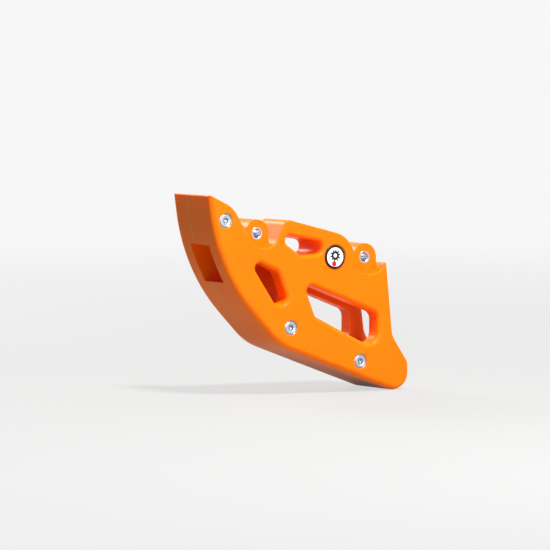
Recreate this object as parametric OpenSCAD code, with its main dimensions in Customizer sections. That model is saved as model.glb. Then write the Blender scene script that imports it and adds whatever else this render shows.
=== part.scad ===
// Chain guide in two moulded halves, held together by three countersunk screws.
// X runs rearward, Y inboard and Z up. The origin is on the axis of the front mount,
// on the outer end of its collar. A corner is given as [x, z, radius].

/* [Thickness] */
// Thickness of both halves together
total_t = 53.5; // [46:0.5:60]
// Depth of the parting plane behind the outer face
parting_depth = 33; // [30:1:36]
// Thickness of the outer plate, up to the chain channel
plate_t = 13; // [10:1:14]
// Width of the chain channel
channel_w = 26; // [24:0.5:28]
// Depth of the mount ears behind the outer face
ear_depth = 8; // [6:1:10]

/* [Edges] */
// Radius of the rounded front and lower edges
edge_r = 4.5; // [3:0.5:5]
// Radius of the eased upper and rear edges
eased_r = 1.2; // [0.8:0.1:1.6]
// Radius of the flared rim of each window
flare_r = 3.8; // [3:0.1:4]
// Radius of the flared rim of the top slot
slot_flare_r = 3; // [2:0.1:3.4]

/* [Outline shared by both halves] */
// Top of the front wall
front_top = [-47.1, 30.6, 1]; // [-150:0.5:150]
// Long bend of the front wall
front_bend = [-38.9, -28.7, 138]; // [-150:0.5:150]
// Bend between the front wall and the keel
keel_bend = [15.8, -85.2, 50]; // [-150:0.5:150]
// Lower rear corner
rear_heel = [132.7, -128.1, 12]; // [-150:0.5:150]
// Foot of the slanted part of the rear edge
rear_step_low = [132.7, -102.1, 10]; // [-150:0.5:150]
// Top of the slanted part of the rear edge
rear_step_high = [118.4, -81.1, 15]; // [-150:0.5:150]
// Bend behind the upper screw, down to the front mount
shoulder_bend = [-25.8, 20.4, 20]; // [-150:0.5:150]

/* [Outline of the outer half] */
// Rear top corner, beside the rear ear
rear_top = [112.6, -23.6, 0.8]; // [-150:0.5:150]
// Rear corner of the valley under the rear mount
rear_valley_b = [104.5, -35.3, 12]; // [-150:0.5:150]
// Front corner of the valley under the rear mount
rear_valley_a = [86.6, -31.5, 3]; // [-150:0.5:150]
// Rear corner of the hump
hump_rear = [80.5, -4.5, 22]; // [-150:0.5:150]
// Front corner of the hump
hump_front = [20.9, 10.6, 6]; // [-150:0.5:150]
// Rear corner of the valley under the front mount
front_valley_b = [11, -11, 13]; // [-150:0.5:150]
// Front corner of the valley under the front mount
front_valley_a = [-6.7, -11, 16]; // [-150:0.5:150]

/* [Outline of the inner half] */
// Rear top corner
inner_rear_top = [112.7, -39, 4]; // [-150:0.5:150]
// Corner under the front mount
inner_saddle = [-9, -7, 8]; // [-150:0.5:150]

/* [Chain channel] */
// Height of the channel's roof at the front notch
notch_top = -7.8; // [-12:0.2:-6]
// Height of the channel's floor at the front notch
notch_floor = -36.3; // [-38:0.2:-34]
// Fall of the roof for each millimetre rearward
roof_fall = 0.265; // [0.22:0.005:0.3]
// Fall of the floor for each millimetre rearward
floor_fall = 0.42; // [0.38:0.01:0.44]
// Where the roof starts to fall
roof_start_x = -36; // [-40:1:-30]
// Where the floor starts to fall
floor_start_x = -27; // [-30:1:-20]

/* [Mounts] */
// Distance between the two mounting holes
mount_pitch = 100; // [95:0.5:105]
// Slope of the line through the two mounting holes
mount_slope = 12; // [10:0.5:14]
// Radius of the ears around the collars
ear_r = 10.5; // [9:0.5:11]
// Depth of the ears' roots below the mounting holes
ear_root = 16; // [14:0.5:18]
// Outer diameter of the steel collars
collar_d = 10; // [9:0.5:11]
// Bore of the steel collars
collar_bore = 6.5; // [6.2:0.1:6.8]

/* [Screws and nuts] */
// Diameter of the screws
screw_d = 6; // [5:1:6]
// Head diameter of the countersunk screws
head_d = 11.4; // [10:0.1:13]
// Depth of the heads below the outer face
head_sink = 0.4; // [0.2:0.1:0.6]
// Clearance across the screw in its hole
hole_clearance = 0.4; // [0.2:0.1:0.8]
// Width across the flats of the socket
socket_af = 4; // [3:0.5:4]
// Depth of the socket
socket_depth = 2.6; // [2:0.1:3]
// Width across the flats of the nuts
nut_af = 10; // [8:0.5:10]
// Height of the hexagon part of a nut
nut_hex_h = 4; // [3:0.5:5]
// Height of a nut with its collar
nut_h = 6; // [5:0.5:7]
// Depth of the nut pockets
pocket_depth = 8; // [7:0.5:9]
// Clearance across the flats of a nut in its pocket
pocket_clearance = 0.3; // [0.2:0.1:0.5]
// Outer diameter of the nylon ring in a nut
ring_d = 8; // [7.6:0.1:8.2]
// Height of the nylon ring
ring_h = 1.6; // [1.2:0.1:1.8]
// Outer diameter of the nut's collar
nut_collar_d = 9.2; // [9:0.1:9.6]

/* [Badge] */
// Place of the badge on the hump
badge_place = [65.5, -19.5]; // [-150:0.5:150]
// Diameter of the badge
badge_d = 18; // [16:0.5:19]
// Diameter of its recess
badge_recess_d = 20; // [19:0.5:22]
// Thickness of the badge
badge_t = 1; // [0.8:0.1:1.5]
// Width of the badge's dark ring
badge_ring_w = 1.1; // [0.8:0.1:1.5]

/* [Hidden] */
$fn = 96;

orange = "#ff7a12";
zinc = "#c3c6c8";
nylon = "#e9e6dc";

face_y = -ear_depth;
parting_y = face_y + parting_depth;
back_y = face_y + total_t;
channel_y = face_y + plate_t;
channel_end_y = channel_y + channel_w;
collar_l = parting_y;
rear_mount = mount_pitch * [cos(mount_slope), -sin(mount_slope)];
mounts = [[0, 0], rear_mount];

upper_place = [-32.6, 10.7];
middle_place = [25.7, -71.7];
lower_place = [89.1, -99.7];
screw_places = [upper_place, middle_place, lower_place];

// Holes through the plates; their flares grow outward from these corners
slot = [[21.3, -8, 3], [35.5, -17.8, 8], [54, -16.6, 4.3], [54, -7.4, 4.6], [21.3, -1.4, 3.5]];
small_window = [[12.4, -53.6, 4.7], [24.5, -53.6, 4.7], [14.9, -29.2, 8], [-13, -16.6, 4]];
big_window = [[48.5, -64.1, 4], [105.4, -92, 9], [105.4, -63.8, 7.5], [38, -37.8, 4]];

common_outline = [front_top, front_bend, keel_bend, rear_heel, rear_step_low, rear_step_high];
outer_outline = concat(common_outline, [rear_top, rear_valley_b, rear_valley_a, hump_rear,
                       hump_front, front_valley_b, front_valley_a, shoulder_bend]);
inner_outline = concat(common_outline, [inner_rear_top, inner_saddle, shoulder_bend]);

// The first three edges of each half are fully rounded, the others only eased
rounded_edges = 3;
function edge_radii(outline) =
    [for (i = [0 : len(outline) - 1]) i < rounded_edges ? edge_r : eased_r];

// A rounded rim is cut into this many flats, at these shares of its radius below the face
rim_steps = 7;
rim_depths = [for (k = [1 : rim_steps]) 1 - cos(90 * k / rim_steps)];

// The largest turn and the longest chord between two points of an arc
arc_turn = 12;
arc_chord = 7;

// How far a cutter reaches past a surface, and the small step that it leaves there
past = 1;
trim = 0.04;
// How far the channel's cutter runs past the front and the rear
channel_overrun = 20;
// The smallest radius that an arc keeps
least_r = 0.4;

function perp(v) = [-v.y, v.x];
function turned(v, a) = [v.x * cos(a) - v.y * sin(a), v.x * sin(a) + v.y * cos(a)];
function flat(v) = [v.x, v.y];
function direction(c, i) =
    let (d = flat(c[(i + 1) % len(c)]) - flat(c[i])) d / norm(d);

// How far a rounded edge of radius r stands in from the side at a given depth
function rounding(r, depth) = depth >= r ? 0 : r - sqrt(r * r - (r - depth) * (r - depth));

// The arc at one corner after its two edges have moved in by in_a and in_b
function corner_arc(c, i, in_a, in_b) =
    let (a = direction(c, (i + len(c) - 1) % len(c)), b = direction(c, i),
         s = a.x * b.y - a.y * b.x, side = sign(s), turn = acos(a * b),
         tip = flat(c[i]) + (in_a * b - in_b * a) / s,
         r = max(least_r, c[i][2] - side * (in_a + in_b) / 2),
         centre = tip - a * r * tan(turn / 2) + side * r * perp(a),
         steps = 1 + ceil(max(turn / arc_turn, c[i][2] * turn * PI / 180 / arc_chord)))
    [for (k = [0 : steps]) centre + turned(-side * r * perp(a), side * turn * k / steps)];

// The outline with every edge moved in by its own amount
function inset_outline(c, amounts) =
    [for (i = [0 : len(c) - 1])
        each corner_arc(c, i, amounts[(i + len(c) - 1) % len(c)], amounts[i])];

function sharp_outline(c) = inset_outline(c, [for (corner = c) 0]);

// A closed band skinned over rings of equal point count; each ring is [outline, y]
module band(rings) {
    n = len(rings[0][0]);
    m = len(rings);
    points = [for (ring = rings) for (p = ring[0]) [p.x, ring[1], p.y]];
    faces = [for (k = [0 : m - 1]) for (i = [0 : n - 1])
        let (j = (i + 1) % n, a = k * n + i, b = k * n + j,
             c = ((k + 1) % m) * n + j, d = ((k + 1) % m) * n + i)
        each [[a, b, c], [a, c, d]]];
    polyhedron(points, faces, convexity = 8);
}

// What rounds the edge of a plate whose face is at y = 0
module edge_cutter(c) {
    radii = edge_radii(c);
    outside = [for (r = radii) -past];
    band(concat(
        [[inset_outline(c, outside), -past], [inset_outline(c, outside), edge_r]],
        [for (k = [rim_steps - 1 : -1 : 0])
            let (d = edge_r * rim_depths[k])
            [inset_outline(c, [for (r = radii) rounding(r, d) - trim]), d]],
        [[inset_outline(c, radii), trim], [inset_outline(c, radii), -past]]));
}

// What cuts a hole with a flared rim at y = 0, reaching to y = depth
module flared_hole(c, r, depth) {
    inside = [for (corner = c) past];
    rim = [for (corner = c) -r];
    band(concat(
        [[inset_outline(c, rim), -past], [inset_outline(c, rim), trim]],
        [for (share = rim_depths)
            [inset_outline(c, [for (corner = c) trim - rounding(r, share * r)]), share * r]],
        [[inset_outline(c, inside), r], [inset_outline(c, inside), -past]]));
    across(-past, depth) polygon(sharp_outline(c));
}

// A bar of the given flat shape between two depths
module across(y0, y1) {
    translate([0, y1, 0]) rotate([90, 0, 0]) linear_extrude(y1 - y0) children();
}

// A round bar along Y at a place in the XZ plane
module round_bar(place, y0, y1, d, d2 = 0) {
    translate([place.x, y1, place.y]) rotate([90, 0, 0])
        cylinder(h = y1 - y0, d1 = d2 > 0 ? d2 : d, d2 = d);
}

// A hexagonal bar along Y, with a flat at the top
module hex_bar(place, y0, y1, across_flats) {
    translate([place.x, y1, place.y]) rotate([90, 0, 0])
        cylinder(h = y1 - y0, d = across_flats / cos(30), $fn = 6);
}

// The chain's way through both halves, open at the front notch and at the rear
module channel() {
    front_x = front_top.x - channel_overrun;
    rear_x = rear_heel.x + channel_overrun;
    across(channel_y, channel_end_y)
        polygon([[front_x, notch_floor], [floor_start_x, notch_floor],
                 [rear_x, notch_floor - floor_fall * (rear_x - floor_start_x)],
                 [rear_x, notch_top - roof_fall * (rear_x - roof_start_x)],
                 [roof_start_x, notch_top], [front_x, notch_top]]);
}

// The hole and the countersink for one screw
module screw_hole(place) {
    rim_d = head_d + 2 * head_sink;
    round_bar(place, face_y - past, back_y + past, screw_d + hole_clearance);
    round_bar(place, face_y, face_y + (rim_d - screw_d) / 2, rim_d, screw_d);
}

// A mount ear, set back from the outer face and rooted in the half
module ear(place) {
    round_bar(place, 0, parting_y, 2 * ear_r);
    across(0, parting_y)
        translate([place.x - ear_r, place.y - ear_root]) square([2 * ear_r, ear_root]);
}

module outer_half() {
    color(orange) difference() {
        union() {
            across(face_y, parting_y) polygon(sharp_outline(outer_outline));
            for (place = mounts) ear(place);
        }
        translate([0, face_y, 0]) edge_cutter(outer_outline);
        channel();
        translate([0, face_y, 0]) flared_hole(slot, slot_flare_r, parting_depth + past);
        translate([0, face_y, 0]) flared_hole(small_window, flare_r, plate_t + past);
        translate([0, face_y, 0]) flared_hole(big_window, flare_r, plate_t + past);
        for (place = mounts) round_bar(place, -past, parting_y + past, collar_d);
        for (place = screw_places) screw_hole(place);
        round_bar(badge_place, face_y - past, face_y + badge_t, badge_recess_d);
    }
}

module inner_half() {
    color(orange) difference() {
        across(parting_y, back_y) polygon(sharp_outline(inner_outline));
        translate([0, back_y, 0]) mirror([0, 1, 0]) edge_cutter(inner_outline);
        channel();
        translate([0, back_y, 0]) mirror([0, 1, 0])
            flared_hole(big_window, flare_r, back_y - channel_end_y + past);
        for (place = screw_places) {
            screw_hole(place);
            hex_bar(place, back_y - pocket_depth, back_y + past, nut_af + pocket_clearance);
        }
    }
}

module mount_collar(place) {
    color(zinc) difference() {
        round_bar(place, 0, collar_l, collar_d);
        round_bar(place, -past, collar_l + past, collar_bore);
    }
}

module screw(place) {
    head_y = face_y + head_sink;
    head_h = (head_d - screw_d) / 2;
    tip_y = back_y - pocket_depth + nut_h;
    color(zinc) difference() {
        union() {
            round_bar(place, head_y, head_y + head_h, head_d, screw_d);
            round_bar(place, head_y + head_h, tip_y, screw_d);
        }
        hex_bar(place, head_y - past, head_y + socket_depth, socket_af);
    }
}

module nut(place) {
    seat_y = back_y - pocket_depth;
    color(zinc) difference() {
        union() {
            hex_bar(place, seat_y, seat_y + nut_hex_h, nut_af);
            round_bar(place, seat_y + nut_hex_h, seat_y + nut_h, nut_collar_d);
        }
        round_bar(place, seat_y - past, seat_y + nut_h + past, screw_d);
        round_bar(place, seat_y + nut_hex_h, seat_y + nut_h + past, ring_d);
    }
}

module nut_ring(place) {
    ring_y = back_y - pocket_depth + nut_hex_h;
    color(nylon) difference() {
        round_bar(place, ring_y, ring_y + ring_h, ring_d);
        round_bar(place, ring_y - past, ring_y + ring_h + past, screw_d);
    }
}

module badge() {
    color("white") round_bar(badge_place, face_y, face_y + badge_t, badge_d - 2 * badge_ring_w);
    color("black") difference() {
        round_bar(badge_place, face_y, face_y + badge_t, badge_d);
        round_bar(badge_place, face_y - past, face_y + badge_t + past, badge_d - 2 * badge_ring_w);
    }
}

outer_half();
inner_half();
mount_collar(mounts[0]);  // front_mount_collar
mount_collar(mounts[1]);  // rear_mount_collar
screw(upper_place);  // upper_screw
screw(middle_place);  // middle_screw
screw(lower_place);  // lower_screw
nut(upper_place);  // upper_nut
nut(middle_place);  // middle_nut
nut(lower_place);  // lower_nut
nut_ring(upper_place);  // upper_nut_ring
nut_ring(middle_place);  // middle_nut_ring
nut_ring(lower_place);  // lower_nut_ring
badge();
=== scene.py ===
import math

import bmesh
import bpy
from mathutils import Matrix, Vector


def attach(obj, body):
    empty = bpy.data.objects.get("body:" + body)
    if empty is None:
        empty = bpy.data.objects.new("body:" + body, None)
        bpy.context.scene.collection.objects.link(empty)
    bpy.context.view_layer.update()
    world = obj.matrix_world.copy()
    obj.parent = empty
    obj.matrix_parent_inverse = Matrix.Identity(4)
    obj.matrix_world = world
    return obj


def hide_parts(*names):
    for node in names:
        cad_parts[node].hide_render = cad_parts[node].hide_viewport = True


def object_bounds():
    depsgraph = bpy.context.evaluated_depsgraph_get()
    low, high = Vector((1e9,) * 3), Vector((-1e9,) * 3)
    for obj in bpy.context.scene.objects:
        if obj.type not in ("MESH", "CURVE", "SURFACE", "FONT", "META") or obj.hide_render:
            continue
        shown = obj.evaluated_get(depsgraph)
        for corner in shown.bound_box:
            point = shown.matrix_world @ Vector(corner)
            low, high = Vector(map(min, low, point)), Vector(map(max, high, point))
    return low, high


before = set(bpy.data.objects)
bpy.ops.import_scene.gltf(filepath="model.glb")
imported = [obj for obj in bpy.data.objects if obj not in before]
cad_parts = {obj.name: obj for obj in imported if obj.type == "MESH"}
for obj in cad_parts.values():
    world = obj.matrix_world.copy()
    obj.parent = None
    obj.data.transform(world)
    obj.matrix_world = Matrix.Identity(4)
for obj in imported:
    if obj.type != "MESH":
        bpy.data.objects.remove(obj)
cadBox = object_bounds()
mm = 0.001
weld = 1e-6  # m, points nearer than this are merged

camera = {
    "target": (28.1, 18.3, -33.2),  # mm
    "azimuth": -33.25,  # degrees
    "elevation": 3.5,
    "distance": 3727,  # mm
    "lens": 321.8,
    "sensor": 36,  # mm
    "clip": (0.05, 300),  # m
}

guide = {
    "faceY": -8,  # mm, outer face
    "backY": 45.5,  # mm, inner face
    "partingY": 25,  # mm, joint of the halves
    "screws": {"upper": (-32.6, 10.7), "middle": (25.7, -71.7), "lower": (89.1, -99.7)},
    "mounts": {"front": (0, 0), "rear": (97.815, -20.791)},
    "badge": (65.5, -19.5),
}


# helpers

def linear(hexColour):
    parts = [int(hexColour[i:i + 2], 16) / 255 for i in (1, 3, 5)]
    return tuple(c / 12.92 if c <= 0.04045 else ((c + 0.055) / 1.055) ** 2.4 for c in parts) + (1,)


def addNode(owner, kind, settings=None, inputs=None):  # owner is a material or the world
    node = owner.node_tree.nodes.new(kind)
    for name, value in (settings or {}).items():
        setattr(node, name, value)
    for name, value in (inputs or {}).items():
        if isinstance(value, bpy.types.NodeSocket):
            owner.node_tree.links.new(value, node.inputs[name])
        else:
            node.inputs[name].default_value = value
    return node


def newMaterial(name):
    material = bpy.data.materials.new(name)
    material.use_nodes = True
    material.node_tree.nodes.clear()
    return material


def closeMaterial(material, shader):
    addNode(material, "ShaderNodeOutputMaterial", inputs={"Surface": shader.outputs[0]})
    return material


def deselectAll():
    for other in list(bpy.context.selected_objects):
        other.select_set(False)


def pick(piece):
    deselectAll()
    piece.select_set(True)
    bpy.context.view_layer.objects.active = piece


def editMode(piece, mode="FACE"):
    pick(piece)
    bpy.ops.object.mode_set(mode="EDIT")
    bpy.ops.mesh.select_mode(type=mode)
    bpy.ops.mesh.select_all(action="SELECT")


def selectFaces(piece, test):  # in edit mode
    bpy.ops.mesh.select_all(action="DESELECT")
    mesh = bmesh.from_edit_mesh(piece.data)
    for face in mesh.faces:
        if test(face.calc_center_median(), face.normal):
            face.select_set(True)
    mesh.select_flush_mode()
    bmesh.update_edit_mesh(piece.data)


def applyModifier(piece, kind, **settings):
    pick(piece)
    modifier = piece.modifiers.new(kind.title(), kind)
    for name, value in settings.items():
        setattr(modifier, name, value)
    bpy.ops.object.modifier_apply(modifier=modifier.name)


# a profile is a list of radius and y in mm, and its ends are capped unless it is closed
def lathe(name, place, profile, sides=64, closed=False, turn=0.0):
    x, z = place[0] * mm, place[1] * mm
    deselectAll()
    radius, y = profile[0]
    bpy.ops.mesh.primitive_circle_add(vertices=sides, radius=radius * mm, fill_type="NOTHING",
                                      location=(x, y * mm, z), rotation=(math.pi / 2, turn, 0))
    piece = bpy.context.object
    piece.name = name
    bpy.ops.object.transform_apply(location=True, rotation=True, scale=True)
    bpy.ops.object.mode_set(mode="EDIT")
    bpy.ops.mesh.select_mode(type="VERT")
    bpy.ops.mesh.select_all(action="SELECT")
    for (r0, y0), (r1, y1) in zip(profile, profile[1:]):
        bpy.ops.mesh.extrude_region_move(TRANSFORM_OT_translate={"value": (0, (y1 - y0) * mm, 0)})
        bpy.ops.transform.resize(value=(r1 / r0, 1, r1 / r0), center_override=(x, y1 * mm, z))
    bpy.ops.mesh.select_all(action="SELECT")
    bpy.ops.mesh.remove_doubles(threshold=weld)
    if not closed:
        bpy.ops.mesh.fill_holes(sides=0)
    bpy.ops.mesh.select_all(action="SELECT")
    bpy.ops.mesh.normals_make_consistent(inside=False)
    bpy.ops.object.mode_set(mode="OBJECT")
    return piece


def boolean(piece, cutter, operation):
    applyModifier(piece, "BOOLEAN", operation=operation, object=cutter, solver="EXACT")
    bpy.data.objects.remove(cutter)


def finishPiece(piece, material, nodes, angle=30, edge=0.0):
    if edge:
        applyModifier(piece, "BEVEL", width=edge * mm, segments=2, limit_method="ANGLE",
                      angle_limit=math.radians(40), use_clamp_overlap=True)
    pick(piece)
    piece.data.materials.clear()
    piece.data.materials.append(material)
    bpy.ops.object.shade_smooth_by_angle(angle=math.radians(angle))
    applyModifier(piece, "WEIGHTED_NORMAL", keep_sharp=True, weight=60)
    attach(piece, "root")
    if nodes:
        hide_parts(*nodes)
    return piece


# materials

plastic = {
    "colours": ("#ff7a03", "#fd7202"),
    "seamHighlight": "#ffa860",  # painted highlight along the joint, where the burr of the two halves would catch the light
    "seam": 0.8,  # mm, how far that reaches to each side
    "seamHighlightShare": 0.65,  # how much of the painted highlight shows on the joint itself
    "flow": 38,  # mm, size of the flow marks
    "flowDepth": 0.25,  # mm
    "grain": 1.1,  # mm, spark-eroded grain, drawn this coarse to show
    "grainDepth": 0.015,  # mm
    "scatter": 5,  # mm, how far light goes in
}
zinc = {
    "colours": ("#f0f1f3", "#a9b2be"),
    "rings": 0.8,  # mm, pitch of the tool marks
    "ringDepth": 0.025,  # mm
    "clouds": 1.6,  # mm, size of the clouds in the plating
    "cloudDepth": 0.08,  # mm
}
insert = {"colours": ("#f1eee2", "#e4e0d0"), "clouds": 2}  # clouds in mm
label = {"specks": 0.8}  # mm, size of the specks in the ink


def mouldedPolyethylene():
    # UHMW polyethylene, injection moulded: satin, a little translucent, faint flow marks
    m = newMaterial("mouldedPolyethylene")
    where = addNode(m, "ShaderNodeTexCoord").outputs["Object"]
    flow = addNode(m, "ShaderNodeTexNoise", inputs={
        "Vector": where, "Scale": 1000 / plastic["flow"], "Detail": 3, "Roughness": 0.45})
    first, second = plastic["colours"]
    colour = addNode(m, "ShaderNodeMix", {"data_type": "RGBA"}, {
        0: flow.outputs["Fac"], 6: linear(first), 7: linear(second)})
    axes = addNode(m, "ShaderNodeSeparateXYZ", inputs={"Vector": where})
    # painted highlight: the colour turns lighter along the joint of the halves, as if its burr caught
    # the light
    offset = addNode(m, "ShaderNodeMath", {"operation": "SUBTRACT"}, {
        0: axes.outputs["Y"], 1: guide["partingY"] * mm})
    reach = addNode(m, "ShaderNodeMath", {"operation": "ABSOLUTE"}, {0: offset.outputs[0]})
    seam = addNode(m, "ShaderNodeMapRange", {"interpolation_type": "SMOOTHSTEP"}, {
        "Value": reach.outputs[0], "From Max": plastic["seam"] * mm,
        "To Min": plastic["seamHighlightShare"], "To Max": 0.0})
    colour = addNode(m, "ShaderNodeMix", {"data_type": "RGBA"}, {
        0: seam.outputs["Result"], 6: colour.outputs[2], 7: linear(plastic["seamHighlight"])})
    grain = addNode(m, "ShaderNodeTexNoise", inputs={
        "Vector": where, "Scale": 1000 / plastic["grain"], "Detail": 2, "Roughness": 0.5})
    sheen = addNode(m, "ShaderNodeMapRange", inputs={
        "Value": grain.outputs["Fac"], "To Min": 0.3, "To Max": 0.4})
    sink = addNode(m, "ShaderNodeBump", inputs={
        "Height": flow.outputs["Fac"], "Distance": plastic["flowDepth"] * mm, "Strength": 0.6})
    skin = addNode(m, "ShaderNodeBump", inputs={
        "Height": grain.outputs["Fac"], "Distance": plastic["grainDepth"] * mm, "Strength": 0.6,
        "Normal": sink.outputs["Normal"]})
    shader = addNode(m, "ShaderNodeBsdfPrincipled", inputs={
        "Base Color": colour.outputs[2], "Roughness": sheen.outputs["Result"], "IOR": 1.5,
        "Specular IOR Level": 0.12, "Subsurface Weight": 0.4, "Subsurface Radius": (1, 0.25, 0.05),
        "Subsurface Scale": plastic["scatter"] * mm, "Normal": skin.outputs["Normal"]})
    return closeMaterial(m, shader)


def zincPlatedSteel(name, place, ringPitch=zinc["rings"], paintedShadeRings=()):
    # zinc-plated steel, turned then clear passivated: bright, faint tool rings, a cool tint
    m = newMaterial(name)
    where = addNode(m, "ShaderNodeTexCoord").outputs["Object"]
    centred = addNode(m, "ShaderNodeMapping", inputs={
        "Vector": where, "Location": (-place[0] * mm, 0, -place[1] * mm)})
    rings = addNode(m, "ShaderNodeTexWave", {
        "wave_type": "RINGS", "rings_direction": "Y"}, {
        "Vector": centred.outputs["Vector"], "Distortion": 0.8,
        "Scale": math.pi / 10 / (ringPitch * mm)})  # at scale 1 the waves are pi / 10 m apart
    cloud = addNode(m, "ShaderNodeTexNoise", inputs={
        "Vector": where, "Scale": 1000 / zinc["clouds"], "Detail": 3, "Roughness": 0.6})
    bright, dull = zinc["colours"]
    colour = addNode(m, "ShaderNodeMix", {"data_type": "RGBA"}, {
        0: cloud.outputs["Fac"], 6: linear(bright), 7: linear(dull)})
    sheen = addNode(m, "ShaderNodeMapRange", inputs={
        "Value": cloud.outputs["Fac"], "To Min": 0.2, "To Max": 0.36})
    if paintedShadeRings:  # painted shade in rings round the axis: darker in the socket and the groove, lightest on the head's bright band
        flat = addNode(m, "ShaderNodeVectorMath", {"operation": "MULTIPLY"}, {
            0: centred.outputs["Vector"], 1: (1, 0, 1)})
        radius = addNode(m, "ShaderNodeVectorMath", {"operation": "LENGTH"}, {
            0: flat.outputs["Vector"]})
        share = addNode(m, "ShaderNodeMath", {"operation": "DIVIDE"}, {
            0: radius.outputs["Value"], 1: paintedShadeRings[-1][0] * mm})
        ramp = addNode(m, "ShaderNodeValToRGB", inputs={"Fac": share.outputs[0]})
        for i, (edge, tone) in enumerate(paintedShadeRings):
            stop = ramp.color_ramp.elements[i] if i < 2 else ramp.color_ramp.elements.new(1.0)
            stop.position, stop.color = edge / paintedShadeRings[-1][0], linear(tone)
        colour = addNode(m, "ShaderNodeMix", {"data_type": "RGBA", "blend_type": "MULTIPLY"}, {
            0: 1.0, 6: colour.outputs[2], 7: ramp.outputs["Color"]})
    turned = addNode(m, "ShaderNodeBump", inputs={
        "Height": rings.outputs["Fac"], "Distance": zinc["ringDepth"] * mm, "Strength": 0.7})
    dents = addNode(m, "ShaderNodeBump", inputs={
        "Height": cloud.outputs["Fac"], "Distance": zinc["cloudDepth"] * mm, "Strength": 0.6,
        "Normal": turned.outputs["Normal"]})
    shader = addNode(m, "ShaderNodeBsdfPrincipled", inputs={
        "Base Color": colour.outputs[2], "Metallic": 1.0, "Roughness": sheen.outputs["Result"],
        "Normal": dents.outputs["Normal"]})
    return closeMaterial(m, shader)


def nylonInsert():
    # PA66 locking ring, moulded: milky white, satin
    m = newMaterial("nylonInsert")
    where = addNode(m, "ShaderNodeTexCoord").outputs["Object"]
    cloud = addNode(m, "ShaderNodeTexNoise", inputs={"Vector": where, "Scale": 1000 / insert["clouds"]})
    first, second = insert["colours"]
    colour = addNode(m, "ShaderNodeMix", {"data_type": "RGBA"}, {
        0: cloud.outputs["Fac"], 6: linear(first), 7: linear(second)})
    shader = addNode(m, "ShaderNodeBsdfPrincipled", inputs={
        "Base Color": colour.outputs[2], "Roughness": 0.45, "IOR": 1.53})
    return closeMaterial(m, shader)


def printedLabel(name, ink, shade):
    # polycarbonate label, screen-printed: even colour, low gloss, a thin clear coat over it
    m = newMaterial(name)
    where = addNode(m, "ShaderNodeTexCoord").outputs["Object"]
    speck = addNode(m, "ShaderNodeTexNoise", inputs={
        "Vector": where, "Scale": 1000 / label["specks"], "Detail": 2})
    colour = addNode(m, "ShaderNodeMix", {"data_type": "RGBA"}, {
        0: speck.outputs["Fac"], 6: linear(ink), 7: linear(shade)})
    shader = addNode(m, "ShaderNodeBsdfPrincipled", inputs={
        "Base Color": colour.outputs[2], "Roughness": 0.3, "IOR": 1.58,
        "Specular IOR Level": 0.2, "Coat Weight": 0.12, "Coat Roughness": 0.08, "Coat IOR": 1.5})
    return closeMaterial(m, shader)


polyethylene = mouldedPolyethylene()
nylon = nylonInsert()
print("materials made")


# the two moulded halves

half = {"edge": 0.4, "snap": 0.06, "flat": 0.3}  # mm, mm, degrees


def mouldedHalf(name, node):
    piece = bpy.data.objects.new(name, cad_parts[node].data.copy())
    bpy.context.scene.collection.objects.link(piece)
    for vertex in piece.data.vertices:  # the cutters leave a hair's step at each face
        for level in (guide["faceY"] * mm, guide["backY"] * mm):
            if abs(vertex.co.y - level) < half["snap"] * mm:
                vertex.co.y = level
    editMode(piece, "VERT")
    bpy.ops.mesh.remove_doubles(threshold=weld)
    bpy.ops.mesh.dissolve_degenerate(threshold=weld)
    bpy.ops.mesh.dissolve_limited(angle_limit=math.radians(half["flat"]))
    bpy.ops.object.mode_set(mode="OBJECT")
    bpy.ops.mesh.customdata_custom_splitnormals_clear()
    return finishPiece(piece, polyethylene, [node], angle=32, edge=half["edge"])


mouldedHalf("outerHalf", "outer_half")
mouldedHalf("innerHalf", "inner_half")
print("halves made")


# screws, nuts and collars

screw = {  # mm
    "headR": 5.7, "shankR": 3.0, "sink": 0.4,
    "dishR": 3.3, "dish": 0.3, "grooveR": 4.5, "grooveW": 0.5, "groove": 0.16, "grooveSlope": 0.15,
    "rim": ((0.5, 0), (0.2, 0.1), (0, 0.35)),  # in from the head's edge, and down from its top
    "land": 0.25, "undercut": 0.15, "neck": 0.4, "neckRound": 0.15, "tipIn": 0.5, "tipChamfer": 0.6,
    "socketR": 2.31, "socketDepth": 2.6, "socketCone": 0.5, "socketTipR": 0.3,
    "paintedShadeRings": [  # painted shade: distance from the axis, and the shade multiplied into the colour there
        (0.0, "#c4c8ce"), (1.6, "#868b92"), (2.3, "#f2f3f4"), (4.3, "#ffffff"), (4.75, "#989da5"),
        (5.1, "#b4b9c1"), (5.7, "#c4c9d0")],
}
nut = {  # mm
    "across": 10, "hexH": 4, "height": 6, "pocket": 8, "boreR": 3.0,
    "hexChamfer": 0.6, "hexFace": 0.2, "hexOver": 0.1,
    "collarR": 4.6, "collarRoot": 0.5,
    "crown": ((0, 0.7), (0.12, 0.3), (0.4, 0.06), (0.6, 0)),  # in from the collar, down from its end
    "ringR": 4.0, "ringH": 1.6, "ringEdge": 0.15, "ringMouth": 0.25,
    "rings": 1.2,  # pitch of the tool marks
}
collar = {"outerR": 5.0, "boreR": 3.25, "length": 25, "chamfer": 0.4}  # mm
cutClear = 1  # mm, how far a cutter runs past its piece


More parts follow.
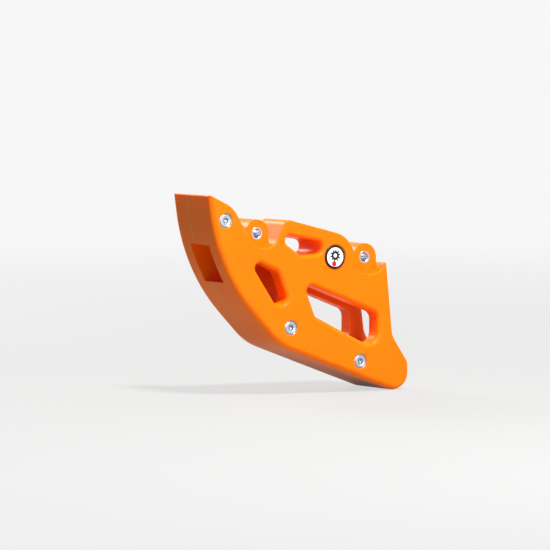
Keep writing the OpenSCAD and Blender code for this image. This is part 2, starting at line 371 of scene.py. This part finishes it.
def countersunkScrew(key, place, steel):
    top = guide["faceY"] + screw["sink"]
    tip = guide["backY"] - nut["pocket"] + nut["height"]
    headR, shankR = screw["headR"], screw["shankR"]
    dishR, dish = screw["dishR"], screw["dish"]
    grooveR, groove, slope = screw["grooveR"], screw["groove"], screw["grooveSlope"]
    grooveEnd = grooveR + screw["grooveW"]
    rimEnd, coneEnd = top + screw["rim"][-1][1], top + headR - shankR
    piece = lathe(key + "Screw", place, [
        (dishR - dish, top + dish), (dishR, top),
        (grooveR, top), (grooveR + slope, top + groove), (grooveEnd - slope, top + groove),
        (grooveEnd, top), *((headR - inward, top + down) for inward, down in screw["rim"]),
        (headR - screw["undercut"], rimEnd + screw["land"]),
        (shankR + screw["neckRound"], coneEnd), (shankR, coneEnd + screw["neck"]),
        (shankR, tip - screw["tipChamfer"]), (shankR - screw["tipIn"], tip)])
    floor = top + screw["socketDepth"]
    cutter = lathe("socket", place, [
        (screw["socketR"], top - cutClear), (screw["socketR"], floor - screw["socketCone"]),
        (screw["socketTipR"], floor)], sides=6, turn=math.pi / 6)
    boolean(piece, cutter, "DIFFERENCE")
    finishPiece(piece, steel, [key + "_screw"], angle=25, edge=0.12)


def lockNut(key, place, steel):
    seat = guide["backY"] - nut["pocket"]
    hexEnd, end = seat + nut["hexH"], seat + nut["height"]
    cornerR = nut["across"] / 2 / math.cos(math.pi / 6)
    faceR, overR = nut["across"] / 2 - nut["hexFace"], cornerR + nut["hexOver"]
    piece = lathe(key + "Nut", place, [(cornerR, seat), (cornerR, hexEnd)], sides=6, turn=math.pi / 6)
    chamfer = lathe("chamfer", place, [
        (faceR, seat), (overR, seat + nut["hexChamfer"]), (overR, hexEnd - nut["hexChamfer"]),
        (faceR, hexEnd)])
    boolean(piece, chamfer, "INTERSECT")
    crown = lathe("crown", place, [
        (nut["collarR"], seat + nut["collarRoot"]),
        *((nut["collarR"] - inward, end - down) for inward, down in nut["crown"])])
    boolean(piece, crown, "UNION")
    boreR, ringR, ringEnd = nut["boreR"], nut["ringR"], hexEnd + nut["ringH"]
    bore = lathe("bore", place, [
        (boreR, seat - cutClear), (boreR, hexEnd), (ringR, hexEnd), (ringR, end + cutClear)])
    boolean(piece, bore, "DIFFERENCE")
    finishPiece(piece, steel, [key + "_nut"], angle=25)
    edge, mouth = nut["ringEdge"], nut["ringMouth"]
    ring = lathe(key + "NutRing", place, [
        (boreR, hexEnd), (ringR, hexEnd), (ringR, ringEnd - edge), (ringR - edge, ringEnd),
        (boreR + mouth, ringEnd), (boreR, ringEnd - mouth), (boreR, hexEnd)], closed=True)
    finishPiece(ring, nylon, [key + "_nut_ring"], angle=25)


def mountCollar(key, place, steel):
    outer, bore, cut, length = collar["outerR"], collar["boreR"], collar["chamfer"], collar["length"]
    tube = lathe(key + "Collar", place, [
        (bore + cut, 0), (outer - cut, 0), (outer, cut), (outer, length - cut), (outer - cut, length),
        (bore + cut, length), (bore, length - cut), (bore, cut), (bore + cut, 0)], closed=True)
    finishPiece(tube, steel, [key + "_mount_collar"], angle=25)


for key, place in guide["screws"].items():
    # the screw heads get painted shade in rings round the axis
    countersunkScrew(key, place, zincPlatedSteel(key + "ScrewZincPaintedShade", place, paintedShadeRings=screw["paintedShadeRings"]))
    lockNut(key, place, zincPlatedSteel(key + "NutZinc", place, ringPitch=nut["rings"]))
for key, place in guide["mounts"].items():
    mountCollar(key, place, zincPlatedSteel(key + "CollarZinc", place))
print("screws, nuts and collars made")


# badge

badge = {  # mm
    "radius": 9.0, "ring": 1.6, "thick": 1.0, "lip": 0.1,
    "edge": ((0, 0.25), (0.2, 0.05), (0.45, 0)),  # in from the outside, and down from the front
    "dome": ((0, 0.15), (0.8, 0.08), (3, 0.02)),  # in from the ring, and down from the front
    "domeTopR": 0.6,
    "cogUp": 1.2, "cogR": 3.4, "hubR": 1.6, "cogSunk": 0.06, "cogProud": 0.03,
    "teeth": 10, "toothHeight": 1.2,
    "spotAt": (-1.0, -5.0),
    "spot": ((2.0, -0.1), (2.0, 0.02), (1.8, 0.04)),  # radius, and how proud of the front
    "black": ("#050506", "#080809"), "white": ("#f2f2f0", "#e9eaec"), "red": ("#c8241c", "#b51c18"),
}


def badgePieces(place):
    front, back = guide["faceY"], guide["faceY"] + badge["thick"]
    radius, lip = badge["radius"], badge["lip"]
    field = radius - badge["ring"]
    ink = printedLabel("blackInk", *badge["black"])
    white = printedLabel("whiteField", *badge["white"])
    red = printedLabel("redInk", *badge["red"])
    rim = lathe("badgeRing", place, [
        (field, back), (radius, back),
        *((radius - inward, front + down) for inward, down in badge["edge"]),
        (field + lip, front), (field, front + lip), (field, back)], closed=True)
    finishPiece(rim, ink, ["badge"], angle=40)
    disc = lathe("badgeField", place, [
        (field, back), *((field - inward, front + down) for inward, down in badge["dome"]),
        (badge["domeTopR"], front)])
    finishPiece(disc, white, [], angle=40)
    cogPlace = (place[0], place[1] + badge["cogUp"])
    cogR, hubR = badge["cogR"], badge["hubR"]
    low, high = front + badge["cogSunk"], front - badge["cogProud"]
    cog = lathe("badgeCog", cogPlace, [
        (hubR, low), (cogR, low), (cogR, high), (hubR, high), (hubR, low)],
        sides=2 * badge["teeth"], closed=True)
    centre = Vector((cogPlace[0] * mm, 0, cogPlace[1] * mm))
    editMode(cog)

    def toothRoot(middle, normal):  # every second face of the rim
        out = Vector((middle.x, 0, middle.z)) - centre
        if abs(normal.y) > 0.5 or out.dot(normal) < 0:
            return False
        return round((math.atan2(out.z, out.x) / math.tau * 2 * badge["teeth"]) - 0.5) % 2 == 0

    selectFaces(cog, toothRoot)
    bpy.ops.mesh.extrude_faces_move(TRANSFORM_OT_shrink_fatten={"value": badge["toothHeight"] * mm})
    bpy.ops.object.mode_set(mode="OBJECT")
    finishPiece(cog, ink, [], angle=20)
    spotX, spotZ = badge["spotAt"]
    spot = lathe("badgeSpot", (place[0] + spotX, place[1] + spotZ),
                 [(spotR, front - proud) for spotR, proud in badge["spot"]], sides=32)
    finishPiece(spot, red, [], angle=30)


badgePieces(guide["badge"])
print("badge made")


# floor, lights and camera

studio = {
    "floorSize": 160,  # m, so that it reaches past the frame
    "floorGap": 0.3,  # mm under the part
    "cloudSize": 1 / 3,  # m
    "floor": "#9a9a98",
    "floorClouds": "#969694",
    "sweep": 2.4,  # m from the middle, where the floor has turned into the backdrop
    "nearSeen": 0.68,  # share of the backdrop's white that the camera sees in the floor nearby
    "nearMirrored": 0.3,  # and that metal mirrors there
    "world": 0.07,  # what lights the part from all round
    "backdrop": 0.93,  # what the camera sees and metal mirrors, where 1 is white
    "lamps": {  # place in m from the guide's middle, size in m, watts
        "topSoftbox": ((-0.17, -0.8, 1.37), 0.3, 43),
        "frontSoftbox": ((0.04, -0.98, 0.2), 0.4, 4.4),
        "backSoftbox": ((-0.2, 1.45, 0.75), 0.6, 18),
        "rearSoftbox": ((1.4, 0.35, 0.5), 0.5, 5),
    },
}


def makeFloor():
    m = newMaterial("matteFloor")
    path = addNode(m, "ShaderNodeLightPath")
    where = addNode(m, "ShaderNodeTexCoord").outputs["Object"]
    cloud = addNode(m, "ShaderNodeTexNoise", inputs={"Vector": where, "Scale": 1 / studio["cloudSize"]})
    colour = addNode(m, "ShaderNodeMix", {"data_type": "RGBA"}, {
        0: cloud.outputs["Fac"], 6: linear(studio["floor"]), 7: linear(studio["floorClouds"])})
    paint = addNode(m, "ShaderNodeBsdfPrincipled", inputs={
        "Base Color": colour.outputs[2], "Roughness": 0.9})
    white = addNode(m, "ShaderNodeEmission", inputs={
        "Color": (1, 1, 1, 1), "Strength": studio["backdrop"]})
    away = addNode(m, "ShaderNodeVectorMath", {"operation": "LENGTH"}, {0: where})
    fade = addNode(m, "ShaderNodeMapRange", {"interpolation_type": "SMOOTHSTEP"}, {
        "Value": away.outputs["Value"], "From Max": studio["sweep"]})
    toCamera = addNode(m, "ShaderNodeMapRange", inputs={
        "Value": fade.outputs["Result"], "To Min": studio["nearSeen"]})
    toMetal = addNode(m, "ShaderNodeMapRange", inputs={
        "Value": fade.outputs["Result"], "To Min": studio["nearMirrored"]})
    direct = addNode(m, "ShaderNodeMath", {"operation": "MULTIPLY"}, {
        0: path.outputs["Is Camera Ray"], 1: toCamera.outputs["Result"]})
    bounced = addNode(m, "ShaderNodeMath", {"operation": "MAXIMUM"}, {
        0: path.outputs["Is Glossy Ray"], 1: path.outputs["Is Transmission Ray"]})
    mirrored = addNode(m, "ShaderNodeMath", {"operation": "MULTIPLY"}, {
        0: bounced.outputs[0], 1: toMetal.outputs["Result"]})
    seen = addNode(m, "ShaderNodeMath", {"operation": "MAXIMUM"}, {
        0: direct.outputs[0], 1: mirrored.outputs[0]})
    mix = addNode(m, "ShaderNodeMixShader", inputs={
        0: seen.outputs[0], 1: paint.outputs[0], 2: white.outputs[0]})
    closeMaterial(m, mix)
    deselectAll()
    bpy.ops.mesh.primitive_plane_add(
        size=studio["floorSize"], location=(0, 0, cadBox[0].z - studio["floorGap"] * mm))
    floor = bpy.context.object
    floor.name = "studioFloor"
    bpy.ops.object.transform_apply(location=True, rotation=True, scale=True)
    floor.data.materials.append(m)


def makeWorld():
    world = bpy.data.worlds.new("paleStudio")
    bpy.context.scene.world = world
    world.use_nodes = True
    world.node_tree.nodes.clear()
    path = addNode(world, "ShaderNodeLightPath")
    bounced = addNode(world, "ShaderNodeMath", {"operation": "MAXIMUM"}, {
        0: path.outputs["Is Glossy Ray"], 1: path.outputs["Is Transmission Ray"]})
    seen = addNode(world, "ShaderNodeMath", {"operation": "MAXIMUM"}, {
        0: path.outputs["Is Camera Ray"], 1: bounced.outputs[0]})
    strength = addNode(world, "ShaderNodeMapRange", inputs={
        "Value": seen.outputs[0], "To Min": studio["world"], "To Max": studio["backdrop"]})
    glow = addNode(world, "ShaderNodeBackground", inputs={
        "Color": (1, 1, 1, 1), "Strength": strength.outputs["Result"]})
    addNode(world, "ShaderNodeOutputWorld", inputs={"Surface": glow.outputs[0]})


def makeLamps():
    middle = (cadBox[0] + cadBox[1]) / 2
    for name, (place, size, watts) in studio["lamps"].items():
        lamp = bpy.data.lights.new(name, "AREA")
        lamp.shape, lamp.size, lamp.energy = "DISK", size, watts
        holder = bpy.data.objects.new(name, lamp)
        bpy.context.scene.collection.objects.link(holder)
        holder.visible_camera = False
        holder.location = middle + Vector(place)
        holder.rotation_mode = "QUATERNION"
        holder.rotation_quaternion = (-Vector(place)).to_track_quat("-Z", "Y")


def makeCamera():
    azimuth, elevation = math.radians(camera["azimuth"]), math.radians(camera["elevation"])
    back = Vector((math.sin(azimuth) * math.cos(elevation), -math.cos(azimuth) * math.cos(elevation),
                   math.sin(elevation)))
    lens = bpy.data.cameras.new("photoCamera")
    lens.lens, lens.sensor_width, lens.sensor_fit = camera["lens"], camera["sensor"], "HORIZONTAL"
    lens.clip_start, lens.clip_end = camera["clip"]
    holder = bpy.data.objects.new("photoCamera", lens)
    bpy.context.scene.collection.objects.link(holder)
    holder.location = Vector(camera["target"]) * mm + back * camera["distance"] * mm
    holder.rotation_mode = "QUATERNION"
    holder.rotation_quaternion = (-back).to_track_quat("-Z", "Y")
    bpy.context.scene.camera = holder


makeFloor()
makeWorld()
makeLamps()
makeCamera()
bpy.context.scene.view_settings.view_transform = "Standard"
print("studio made")
